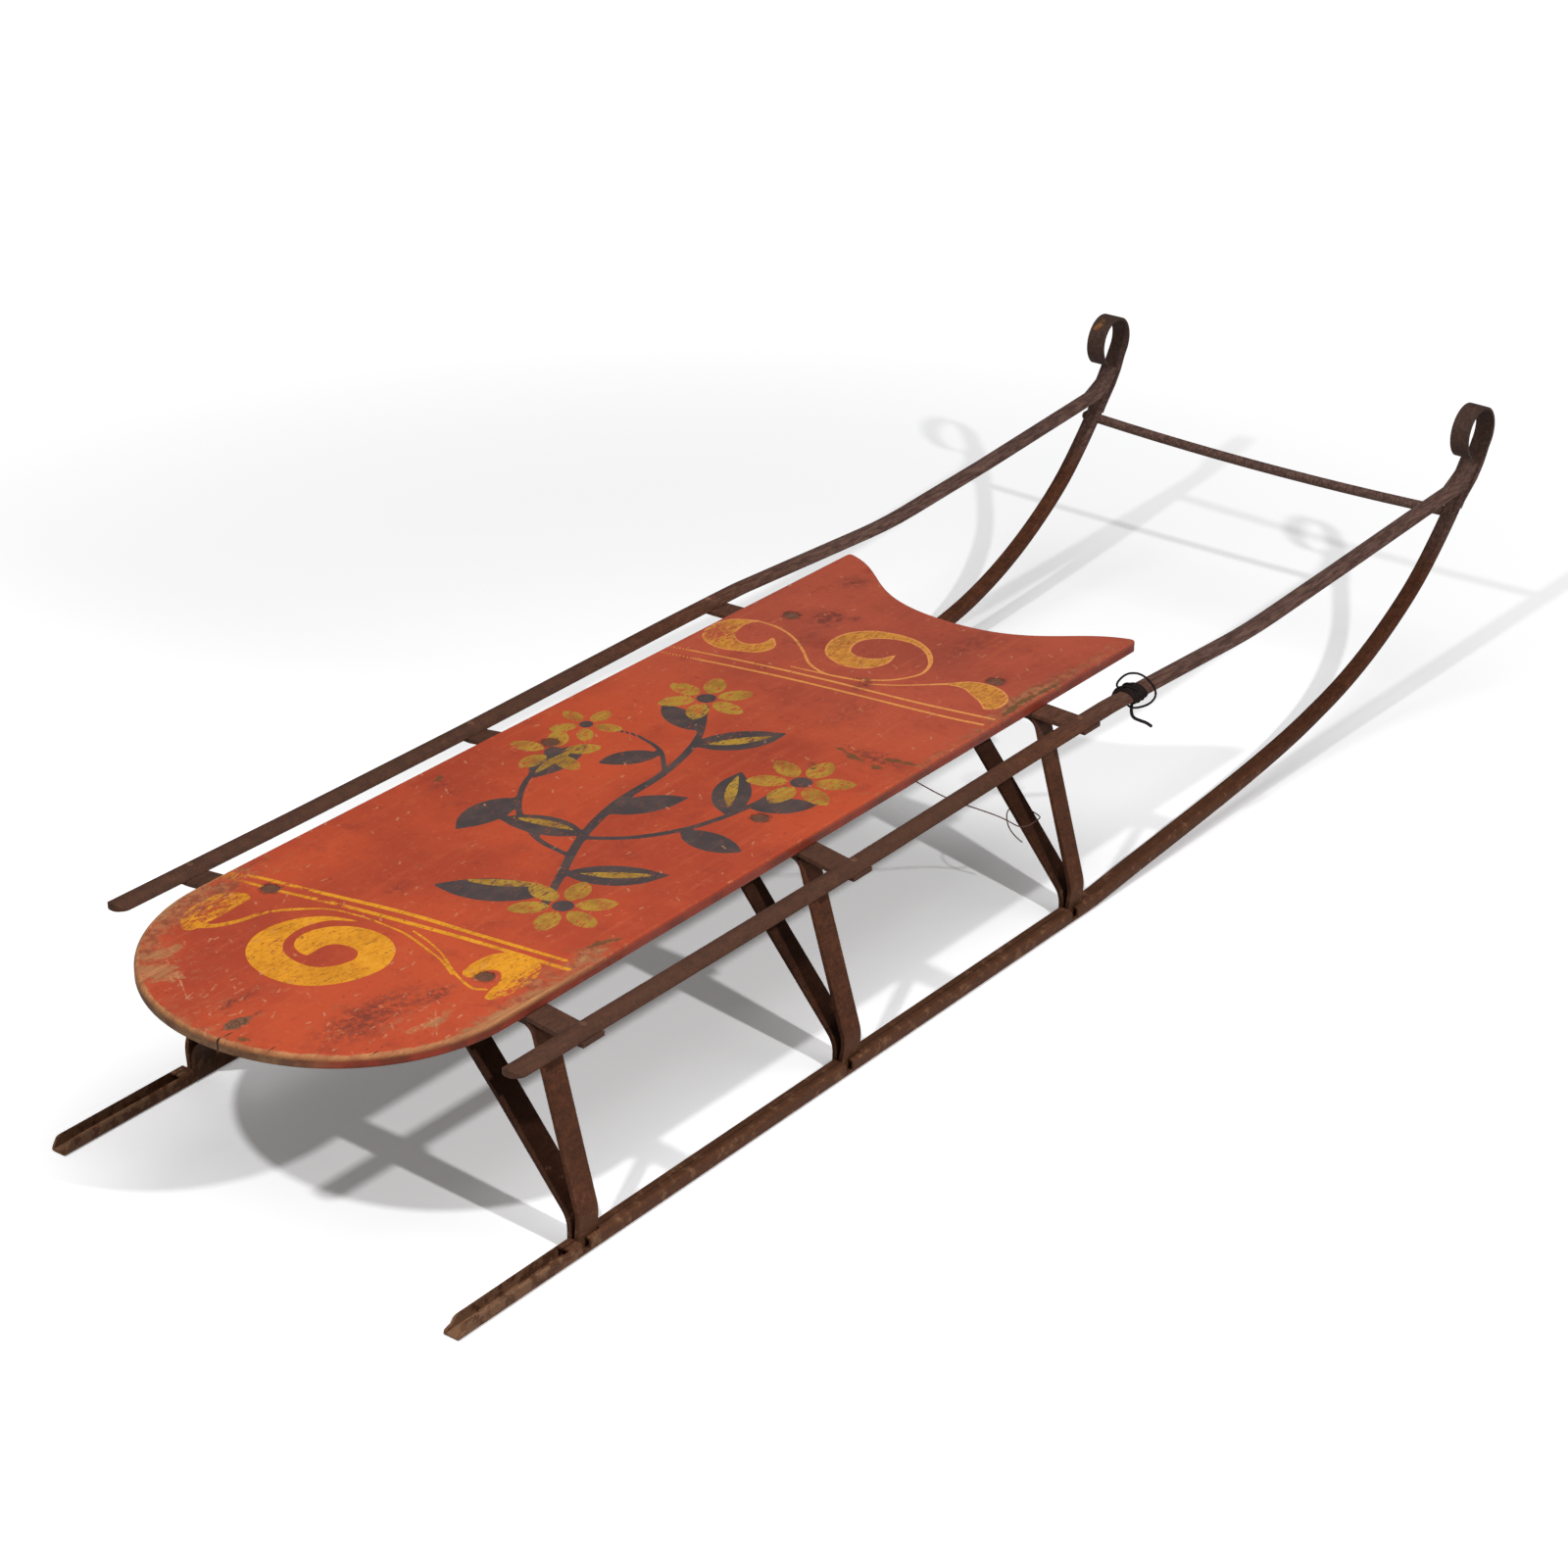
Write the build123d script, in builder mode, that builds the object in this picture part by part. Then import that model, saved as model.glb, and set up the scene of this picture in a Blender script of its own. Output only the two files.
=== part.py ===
import os
from math import acos, cos, radians, sin, tan

from build123d import *

os.makedirs("parts", exist_ok=True)

# All sizes are in mm. Stations along the sled are measured forward from the
# runners' rear ends; X0 brings them to the middle of the sled's length.
X0 = 599.0

deck_half = 127.8
deck_t = 8.5
deck_top = 160.5
deck_bot = deck_top - deck_t
# Control points of the board's two ends, from its middle line out: station, share of the half width.
deck_front = [(730.5, 0), (730.5, 0.577), (774.9, 0.637), (787.0, 0.966)]
deck_rear = [(-27.0, 0), (-27.0, 0.606), (33.7, 1.0), (97.7, 1.0)]
deck_corner = 3.0

# Each knee: name, station, width of its outer and inner strap, how far past the board's edge the
# outer strap's centre line bends down and stands at the height 24, where the inner one crosses
# the height 86.5 inside the edge and meets the foot, and how far its crossbar's ends droop.
knees = [("rear", 125.0, 18.3, 19.4, (3.0, 37.1), (-23.4, 22.6), 2.8),
         ("middle", 393.5, 18.1, 17.8, (-0.8, 38.3), (-25.5, 21.8), 3.6),
         ("front", 662.5, 16.4, 17.3, (1.5, 37.8), (-25.9, 19.0), 0.8)]
# Bolts: station and share of the half width.
bolts_at = {"rear": [(126.5, 0.712), (125.3, -0.682)], "middle": [(395.5, 0.712), (394.0, -0.689)],
            "front": [(667.0, 0.72), (665.0, -0.694)]}
bolts_at = {k: [(x, f * deck_half) for x, f in v] for k, v in bolts_at.items()}

bar_w = 19.6
bar_t = 3.2
bar_top = deck_bot

strap_t = 3.0
flange_z = bar_top - bar_t

runner_y = deck_half + 35.7
runner_w = 12.7
runner_wall = 1.7
foot_in = runner_y - 4.6
brace_in = foot_in - 2.0
foot_z = runner_wall

rail_y = deck_half + 34.1
rail_w = 16.4
rail_h = 5.4
rail_wall = 1.7
bar_half = rail_y + rail_w / 2 + 1.4

rise_x = 675.0
curl_x = 1211.0
splay_x = curl_x - 211
splay = 1.4
curl_t = 2.8

rod_r = 4.0
rod_tenon = 2.2
rod_x, rod_z = curl_x - 21.8, 142.0
rod_bow = 4.0
rod_shoulder = runner_y - 1.9
rod_boss = {1: rod_shoulder + 13.0, -1: rod_shoulder + 11.3}


def xz(points):
    return [(x - X0, z) for x, z in points]


def shifted(points, offsets):
    """Moves each point of a side-view line square to it, upward for a positive offset."""
    out = []
    for i, (x, z) in enumerate(points):
        ax, az = points[max(i - 1, 0)]
        bx, bz = points[min(i + 1, len(points) - 1)]
        dx, dz = bx - ax, bz - az
        n = (dx * dx + dz * dz) ** 0.5
        out.append((x - dz / n * offsets[i], z + dx / n * offsets[i]))
    return out


def up_front(x):
    """A station of the runner's rise, drawn for a rise from 675 to 1211, on the present one."""
    return rise_x + (x - 675) * (curl_x - rise_x) / (1211 - 675)


# The runner's underside, seen from the side, and its height there.
sole = [(675, 0), (708, 1.9), (770, 6.4), (838, 11.2), (906, 17.2), (951, 22.6), (1010, 33.6),
        (1050, 45.5), (1085, 60), (1116, 76.5), (1145, 95.5), (1168, 115.5), (1184, 131.6),
        (1196, 145), (1207.7, 160), (1219.5, 175)]
sole = [(up_front(x), z) for x, z in sole]
tall = [10.0, 10, 10, 9.9, 9.5, 9.1, 8.4, 8, 7.6, 7.2, 7, 7, 7, 7, 7, 7]


def band(low, high, start, count):
    """Side outline between two heights above the sole, from a rear station to a front point."""
    lo = xz(shifted(sole, low))[:count]
    hi = xz(shifted(sole, high))[:count]
    with BuildLine() as ln:
        a = Line((start - X0, low[0]), lo[0])
        b = Spline(*lo, tangents=[(1, 0), (0.617, 0.787)])
        d = Spline(*hi, tangents=[(1, 0), (0.617, 0.787)])
        Line(b @ 1, d @ 1)
        e = Line(d @ 0, (start - X0, high[0]))
        Line(e @ 1, a @ 0)
    return ln.line


def side_plate(line, y, width):
    with BuildPart() as plate:
        with BuildSketch(Plane((0, y, 0), x_dir=(1, 0, 0), z_dir=(0, -1, 0))):
            with BuildLine():
                add(line)
            make_face()
        extrude(amount=width / 2, both=True)
    return plate.part


n_sole = len(sole)
outer = band([0] * n_sole, tall, 0, n_sole)
inner = band([runner_wall] * n_sole, [h - runner_wall for h in tall], -5, n_sole - 2)
# Where rust has eaten the trough's rear end: floor and walls, seen from the side.
eaten = {1: [(-1, -1), (1.5, -1), (1.2, 1.2), (3, 4.5), (5.5, 8), (9, 10.5), (-1, 10.5)],
         -1: [(-1, -1), (4.5, -1), (2.6, 1), (4, 3.2), (9, 4.6), (11.5, 7.4), (16, 10.5), (-1, 10.5)]}


def runner(side, curl_r, curl_z):
    """One runner with its curl; side is 1 on the left and -1 on the right."""
    y = side * runner_y

    def ring_point(a, r):
        return (curl_x - X0 + r * cos(radians(a)), curl_z + r * sin(radians(a)))

    with BuildPart() as tube:
        add(side_plate(outer, y, runner_w))
        fillet([e for e in tube.edges() if e.length > 300], radius=2.6)
        add(side_plate(inner, y, runner_w - 2 * runner_wall), mode=Mode.SUBTRACT)
        # the rolled edges meet in a seam on top, and lie open as a trough at the rear end
        with Locations((300 - X0, y, 9.5)):
            Box(760, 0.9, 4, mode=Mode.SUBTRACT)
        with Locations((50 - X0, y, 10.0)):
            Box(108, runner_w - 2 * runner_wall, 6, mode=Mode.SUBTRACT)
        for _, x, out_w, in_w, _, _, _ in knees:
            with Locations((x - X0, side * (foot_in + strap_t + 0.7), foot_z + 6)):
                Box(max(out_w, in_w) + 0.6, 2 * strap_t + 1.4, 12, mode=Mode.SUBTRACT)
            with Locations((x - X0, side * (brace_in + 1.4), foot_z + 6)):
                Box(in_w + 0.4, 3.6, 12, mode=Mode.SUBTRACT)
            with Locations((x - 6.5 - X0, side * (foot_in + 2 * strap_t + 4), 7.5)):
                Box(7.5, 8, 9, mode=Mode.SUBTRACT)
        with BuildSketch(Plane((0, y, 0), x_dir=(1, 0, 0), z_dir=(0, -1, 0))):
            with BuildLine():
                Polyline(*xz(eaten[side]), close=True)
            make_face()
        extrude(amount=20, both=True, mode=Mode.SUBTRACT)
    with BuildPart() as curl:
        with BuildSketch(Plane((0, y, 0), x_dir=(1, 0, 0), z_dir=(0, -1, 0))):
            with BuildLine():
                low, top = xz([sole[-3], sole[-1]])
                a = Line(low, top)
                b = Spline(a @ 1, ring_point(-36, curl_r), tangents=[(0.617, 0.787), (0.6, 0.8)])
                c = CenterArc((curl_x - X0, curl_z), curl_r, -36, 270)
                d = Line(c @ 1, ring_point(234, curl_r - curl_t))
                e = CenterArc((curl_x - X0, curl_z), curl_r - curl_t, 234, -266)
                f = Spline(e @ 1, (top[0] - 2.2, top[1] + 1.7), tangents=[(-0.53, -0.85), (-0.617, -0.787)])
                g = Line(f @ 1, (low[0] - 2.2, low[1] + 1.7))
                Line(g @ 1, a @ 0)
            make_face()
        extrude(amount=30, both=True)
        # seen from the front, the strap widens from the runner up to the curl
        with BuildSketch(Plane.YZ.offset(curl_x - X0)):
            with BuildLine():
                Polyline((side * (runner_y - 6.35), 90), (side * (runner_y + 6.35), 90),
                         (side * (runner_y + 6.35), 150), (side * (runner_y + 9.1), 166),
                         (side * (runner_y + 11.05), 184), (side * (runner_y + 11.05), 240),
                         (side * (runner_y - 8.45), 240), (side * (runner_y - 8.45), 184),
                         (side * (runner_y - 7.5), 166), (side * (runner_y - 6.35), 150), close=True)
            make_face()
        extrude(amount=400, both=True, mode=Mode.INTERSECT)
    with BuildPart() as flat:
        add(tube.part + curl.part)
    # from a third of the way up the curve the runner leans a little outward
    turn = Pos(splay_x - X0, y, 0) * Rot(0, 0, side * splay) * Pos(X0 - splay_x, -y, 0)
    cut = Pos(splay_x - X0 - 1000, y, 100) * Box(2000, 100, 400)
    with BuildPart() as whole:
        add(flat.part & cut)
        add(turn * (flat.part - cut))
        with Locations(Location((rod_x - X0, y, rod_z), (90, 0, 0))):
            Cylinder(rod_tenon, 60, mode=Mode.SUBTRACT)
    return whole.part


def turns(points):
    """A radius for each inner point of a line: its arcs take 0.45 of the shorter run beside it."""
    out = []
    for a, b, c in zip(points, points[1:], points[2:]):
        u, v = Vector(*b) - Vector(*a), Vector(*c) - Vector(*b)
        half = acos(max(-1.0, min(1.0, u.normalized().dot(v.normalized())))) / 2
        out.append(0.45 * min(u.length, v.length) / tan(half))
    return out


# x, how far out from rail_y the centre is, and height of the rail's lower edge at each bend
knee_rest = [bar_top - k[6] for k in knees]
rail_rear = 58.0
rail_route = [(rail_rear, 0, knee_rest[0] + 0.5), (215, 0.1, knee_rest[1] + 0.3),
              (knees[1][1], 0.7, knee_rest[1]), (610, 1.1, knee_rest[2] - 0.1),
              (694, 1.1, knee_rest[2] + 0.2), (up_front(884), 1.3, 142.8), (up_front(1020), 2.9, 149.9),
              (up_front(1150), 5.3, 158.2), (up_front(1199.7), 6.4, 161.2), (up_front(1213.3), 6.8, 179.4)]
rail_bends = [5000, 5000, 5000, 300, 600, 600, 300, 26]


def rail(side, hollow=True):
    """A hollow half-round rail, bent down past the front knee and up the runner's back."""
    with BuildPart() as body:
        with BuildLine() as path:
            FilletPolyline(*[(x - X0, side * (rail_y + y), z) for x, y, z in rail_route],
                           radius=rail_bends)
        with BuildSketch(Plane(path.line @ 0, x_dir=(0, 1, 0), z_dir=path.line % 0)):
            with BuildLine():
                a = ThreePointArc((-rail_w / 2, 0), (0, rail_h), (rail_w / 2, 0))
                if hollow:
                    b = Line(a @ 1, (rail_w / 2 - rail_wall, 0))
                    c = ThreePointArc(b @ 1, (0, rail_h - rail_wall), (-rail_w / 2 + rail_wall, 0))
                    Line(c @ 1, a @ 0)
                else:
                    Line(a @ 1, a @ 0)
            make_face()
        sweep(path=path.line)
        if hollow:
            # its end is hammered down on the runner's back
            with BuildSketch(Plane((0, side * (rail_y + 6.4), 0), x_dir=(1, 0, 0), z_dir=(0, -1, 0))):
                with BuildLine():
                    Polyline(*xz([(up_front(x), z) for x, z in
                                  [(1184, 160.3), (1199.6, 161.25), (1207, 171), (1202, 168.4)]]),
                             close=True)
                make_face()
            extrude(amount=rail_w / 2 - 0.4, both=True)
            # the rear end is closed and rounded like a spoon
            z0 = rail_route[0][2]
            with Locations((rail_rear + 2.0 - X0, side * rail_y, z0 + 1.6)):
                Box(3.6, rail_w - 4.4, 3.2)
            with BuildSketch(Plane.XY.offset(z0 - 2)):
                with Locations((rail_rear - X0, side * rail_y)):
                    Rectangle(18, rail_w + 6)
                with Locations((rail_rear + 9 - X0, side * rail_y)):
                    Ellipse(9, rail_w / 2 + 0.05, mode=Mode.SUBTRACT)
                    Rectangle(26, rail_w + 8, align=(Align.MIN, Align.CENTER), mode=Mode.SUBTRACT)
            extrude(amount=12, mode=Mode.SUBTRACT)
    return body.part


def strap(name, side, x, line_pts, radii, width):
    """A flat leg: a side line in the knee's plane, given its thickness, as wide as the strap."""
    with BuildPart() as leg:
        with BuildSketch(Plane((x - X0, 0, 0), x_dir=(0, 1, 0), z_dir=(1, 0, 0))):
            with BuildLine() as ln:
                FilletPolyline(*[(side * y, z) for y, z in line_pts], radius=radii)
            trace(line_width=strap_t)
        extrude(amount=width / 2, both=True)
    leg.part.label = name
    return leg.part


def cord(name, points, d):
    """A free cord: straight runs joined by tangent arcs, from points in stations."""
    pts = [(x - X0, y, z) for x, y, z in points]
    radii = turns(pts)
    with BuildPart() as tube:
        with BuildLine() as path:
            FilletPolyline(*pts, radius=radii)
        with BuildSketch(Plane(path.line @ 0, z_dir=path.line % 0)):
            Circle(d / 2)
        sweep(path=path.line)
    tube.part.label = name
    length = sum(e.length for e in path.edges())
    share = tube.part.volume / (3.14159265 * d * d / 4 * length)
    print(f"{name}: length {length:.1f} mm, volume {share:.3f} of section x length, "
          f"radii {[round(r, 1) for r in radii]}")
    export_step(tube.part, f"parts/{name}.step")


side_names = [("left", 1), ("right", -1)]

with BuildPart() as deck:
    with BuildSketch(Plane.XY.offset(deck_bot)) as outline:
        for end, far in ((deck_front, 1), (deck_rear, -1)):
            with BuildLine():
                half = [(x - X0, f * deck_half) for x, f in end]
                mirrored = [(x, -y) for x, y in half]
                a = Bezier(*half)
                b = Line(a @ 1, (end[3][0] - X0, deck_half)) if far > 0 else a
                c = Line(b @ 1, (400 - X0, deck_half))
                d = Line(c @ 1, (400 - X0, -deck_half))
                e = Line(d @ 1, (end[3][0] - X0, -deck_half))
                if far > 0:
                    Line(e @ 1, mirrored[3])
                Bezier(*reversed(mirrored))
            make_face()
        fillet(outline.vertices().filter_by(lambda v: v.X > 150 and abs(v.Y) > deck_half - 1),
               radius=deck_corner)
    extrude(amount=deck_t)
    fillet(deck.edges().group_by(Axis.Z)[-1], radius=1.2)
    fillet(deck.edges().group_by(Axis.Z)[0], radius=1.0)
    for places in bolts_at.values():
        for x, y in places:
            with Locations((x - X0, y, deck_top - 1.4)):
                Cylinder(6.0, 3, align=(Align.CENTER, Align.CENTER, Align.MIN), mode=Mode.SUBTRACT)
            with Locations((x - X0, y, deck_bot - 1)):
                Cylinder(3.2, deck_t + 3, align=(Align.CENTER, Align.CENTER, Align.MIN),
                         mode=Mode.SUBTRACT)
deck.part.label = "deck"
export_step(deck.part, "parts/deck.step")

for knee, x, out_w, in_w, (out_top, out_low), (in_top, in_low), droop in knees:
    with BuildPart() as bar:
        # the bar's ends are bent down a little, from the board's edge to under the rails
        mid = bar_top - bar_t / 2
        level = rail_y - rail_w / 2
        half = [(deck_half, mid), (level - 0.5, mid - droop), (bar_half, mid - droop)]
        with BuildSketch(Plane((x - X0, 0, 0), x_dir=(0, 1, 0), z_dir=(1, 0, 0))):
            with BuildLine():
                FilletPolyline(*[(-y, z) for y, z in reversed(half)], *half, radius=12)
            trace(line_width=bar_t)
        extrude(amount=bar_w / 2, both=True)
        for bx, by in bolts_at[knee]:
            with Locations((bx - X0, by, bar_top - bar_t / 2)):
                Cylinder(3.2, bar_t + 2, mode=Mode.SUBTRACT)
    bar.part.label = f"crossbar_{knee}"
    export_step(bar.part, f"parts/crossbar_{knee}.step")
    with BuildPart() as bolts:
        for bx, by in bolts_at[knee]:
            with Locations((bx - X0, by, deck_top - 1.4)):
                Cylinder(5.9, 1.0, align=(Align.CENTER, Align.CENTER, Align.MIN))
            with Locations((bx - X0, by, flange_z - 5.5)):
                Cylinder(3.15, deck_top - 1.4 - flange_z + 5.5,
                         align=(Align.CENTER, Align.CENTER, Align.MIN))
            with Locations((bx - X0, by, flange_z)):
                Cylinder(5.5, 3.5, align=(Align.CENTER, Align.CENTER, Align.MAX))
    bolts.part.label = f"deck_bolts_{knee}"
    export_step(bolts.part, f"parts/deck_bolts_{knee}.step")
    for side_name, side in side_names:
        mid = flange_z - strap_t / 2
        out_pts = [(deck_half + out_top - 24, mid), (deck_half + out_top, mid), (deck_half + out_low, 24),
                   (foot_in + 1.5 * strap_t, 9.5), (foot_in + 1.5 * strap_t, foot_z)]
        in_pts = [(deck_half - 93.8, mid), (deck_half - 77.3, mid), (deck_half + in_top, 86.5),
                  (brace_in + strap_t / 2, in_low), (brace_in + strap_t / 2, foot_z)]
        leg = strap(f"leg_{side_name}_{knee}", side, x, out_pts, [10, 30, 30], out_w)
        export_step(leg, f"parts/leg_{side_name}_{knee}.step")
        leg = strap(f"brace_{side_name}_{knee}", side, x, in_pts, [9, 60, 20], in_w)
        export_step(leg, f"parts/brace_{side_name}_{knee}.step")

for side_name, side in side_names:
    body = runner(side, *([21.3, 203.3] if side > 0 else [21.8, 204.3]))
    body.label = f"runner_{side_name}"
    export_step(body, f"parts/runner_{side_name}.step")
    body = rail(side)
    body.label = f"rail_{side_name}"
    export_step(body, f"parts/rail_{side_name}.step")

with BuildPart() as tow_rod:
    # the rod has sagged a little between the runners
    with BuildLine() as rod_line:
        ThreePointArc((rod_x - X0, -rod_shoulder, rod_z), (rod_x - X0, 0, rod_z - rod_bow),
                      (rod_x - X0, rod_shoulder, rod_z))
    with BuildSketch(Plane(rod_line.line @ 0, z_dir=rod_line.line % 0)):
        Circle(rod_r)
    sweep(path=rod_line.line)
    # the ends pass through the runners; the left one is peened over outside, the right one is flush
    for side in (1, -1):
        with Locations(Location((rod_x - X0, side * (rod_shoulder - 3), rod_z), (-90 * side, 0, 0))):
            Cylinder(rod_tenon, rod_boss[side] - rod_shoulder + 3,
                     align=(Align.CENTER, Align.CENTER, Align.MIN))
        if side > 0:
            with BuildSketch(Plane((rod_x - X0, rod_boss[side], rod_z), x_dir=(1, 0, 0), z_dir=(0, 1, 0))):
                Circle(4.2)
            extrude(amount=2.0, taper=35)
tow_rod.part.label = "tow_rod"
export_step(tow_rod.part, "parts/tow_rod.step")

# A cord is bound round the right rail in front of the front knee.
bind_x = 723.5
bind_w = 18.0
bind_t = 1.7
with BuildPart() as binding:
    with BuildSketch(Plane((bind_x - bind_w / 2 - X0, 0, 0), x_dir=(0, 1, 0), z_dir=(1, 0, 0))):
        with BuildLine():
            yc, z0 = -(rail_y + 1.14), knee_rest[2] - 1.45
            w = rail_w / 2 + bind_t
            a = ThreePointArc((yc - w, z0 - 0.6), (yc, z0 + rail_h + bind_t + 0.8), (yc + w, z0 - 0.6))
            b = Line(a @ 1, (yc + w - 1.5, z0 - bind_t - 0.8))
            c = Line(b @ 1, (yc - w + 1.5, z0 - bind_t - 0.8))
            Line(c @ 1, a @ 0)
        make_face()
    extrude(amount=bind_w)
    add(rail(-1, hollow=False), mode=Mode.SUBTRACT)
binding.part.label = "binding"
export_step(binding.part, "parts/binding.step")

bind_low = z0 - bind_t - 0.8
cord("binding_cord", [(713.0, -159.0, 159.6), (708.0, -160.5, 163.6), (714.5, -161.5, 167.6),
                      (723.5, -162.0, 167.4), (733.5, -165.0, 164.0), (737.0, -171.5, 158.5),
                      (737.5, -177.0, 150.5), (737.0, -173.0, 142.0), (731.0, -166.0, 138.5),
                      (723.0, -163.0, 141.0), (719.0, -162.5, bind_low - 0.3)], 1.6)
cord("binding_tail", [(721.5, -166.5, bind_low - 0.2), (723.0, -165.0, 139.0), (729.0, -163.5, 131.0),
                      (740.0, -163.0, 124.5), (749.0, -163.5, 119.5), (755.5, -163.0, 114.5)], 2.4)
cord("hanging_wire", [(518, -118, deck_bot - 0.3), (545, -120, 131), (574, -119, 111.5), (603, -120.5, 94.5),
                      (630, -123, 78), (646, -129, 64.5), (663, -131, 66.5), (677, -124, 61),
                      (676.5, -112, 64), (662, -109, 70.5), (647.5, -113, 71.5), (643.5, -120, 60),
                      (651, -126, 51.5)], 0.9)
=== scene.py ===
import math

import bpy
import numpy as np
from mathutils import Matrix, Vector


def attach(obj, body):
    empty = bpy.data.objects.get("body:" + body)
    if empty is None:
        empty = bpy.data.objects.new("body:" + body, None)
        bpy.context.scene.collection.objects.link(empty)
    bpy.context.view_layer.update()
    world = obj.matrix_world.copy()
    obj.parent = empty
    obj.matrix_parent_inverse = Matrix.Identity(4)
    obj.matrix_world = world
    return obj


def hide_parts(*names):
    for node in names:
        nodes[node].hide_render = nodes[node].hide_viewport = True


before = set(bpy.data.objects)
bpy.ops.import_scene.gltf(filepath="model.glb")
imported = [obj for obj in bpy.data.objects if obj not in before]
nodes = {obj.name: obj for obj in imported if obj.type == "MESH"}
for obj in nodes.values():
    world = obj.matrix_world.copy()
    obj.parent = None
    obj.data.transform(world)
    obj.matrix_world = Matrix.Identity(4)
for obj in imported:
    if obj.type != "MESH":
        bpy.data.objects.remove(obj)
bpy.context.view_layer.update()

scene = bpy.context.scene
MM = 0.001
# Stations along the sled are measured in mm forward from the runners' rear ends.
X0 = 599.0

deck_half, deck_t, deck_top = 127.8, 8.5, 160.5
deck_bot = deck_top - deck_t
# the board's ends as Bezier curves: (station, share of the half width)
deck_front = [(730.5, 0), (730.5, 0.577), (774.9, 0.637), (787.0, 0.966)]
deck_rear = [(-27.0, 0), (-27.0, 0.606), (33.7, 1.0), (97.7, 1.0)]
deck_corner = 3.0
bolts_at = [(126.5, 91.0), (125.3, -87.2), (395.5, 91.0), (394.0, -88.0), (667.0, 92.0), (665.0, -88.7)]
seat_r, seat_depth = 6.0, 1.4
rail_y, rail_w, rail_h = 161.9, 16.4, 5.4
# the rail's open underside where the cord is wound round it
bind_z = 151.2 - 1.45
# the middle of the curls, in mm from the sled's middle
curl_x, curl_y = 612.0, 170.0


def row(points):
    """Points in mm, with stations, to metres in the row frame."""
    p = np.asarray(points, float)
    out = p * MM
    out[..., 0] -= X0 * MM
    return out


def new_object(name, data):
    ob = bpy.data.objects.new(name, data)
    scene.collection.objects.link(ob)
    return ob


# ---- camera, lights, floor

sensor, focal_px, frame_px = 36.0, 3818.82, 1600
cam_data = bpy.data.cameras.new("camera")
cam = new_object("camera", cam_data)
scene.camera = cam
cam_data.sensor_width = sensor
cam_data.lens = sensor * focal_px / frame_px
cam_data.clip_end = 60
# the camera's axes, and where it stands in m
right = Vector((0.60269528, -0.79784806, 0.01403122))
up = Vector((0.34663903, 0.27760845, 0.89597708))
back = Vector((-0.71874876, -0.53513739, 0.44387858))
pose = Matrix.Identity(4)
for i in range(3):
    pose[i][0], pose[i][1], pose[i][2] = right[i], up[i], back[i]
pose.translation = Vector((-1.93163, -1.39262, 1.257245))
cam.matrix_world = pose


def lamp(name, at, aim, size, power):
    data = bpy.data.lights.new(name, "AREA")
    data.shape, data.size, data.energy = "DISK", size, power
    ob = new_object(name, data)
    ob.location = at
    ob.rotation_mode = "QUATERNION"
    ob.rotation_quaternion = (Vector(aim) - Vector(at)).to_track_quat("-Z", "Y")


lamp("lamp_side", (-0.61, -1.74, 1.62), (0, 0, 0), 0.07, 22)
lamp("lamp_rear", (-1.62, -0.20, 1.70), (0, 0, 0), 0.08, 16.5)
lamp("lamp_top", (0.15, -0.25, 2.3), (0.05, 0, 0), 1.9, 19)

scene.view_settings.view_transform = "Standard"


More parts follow.
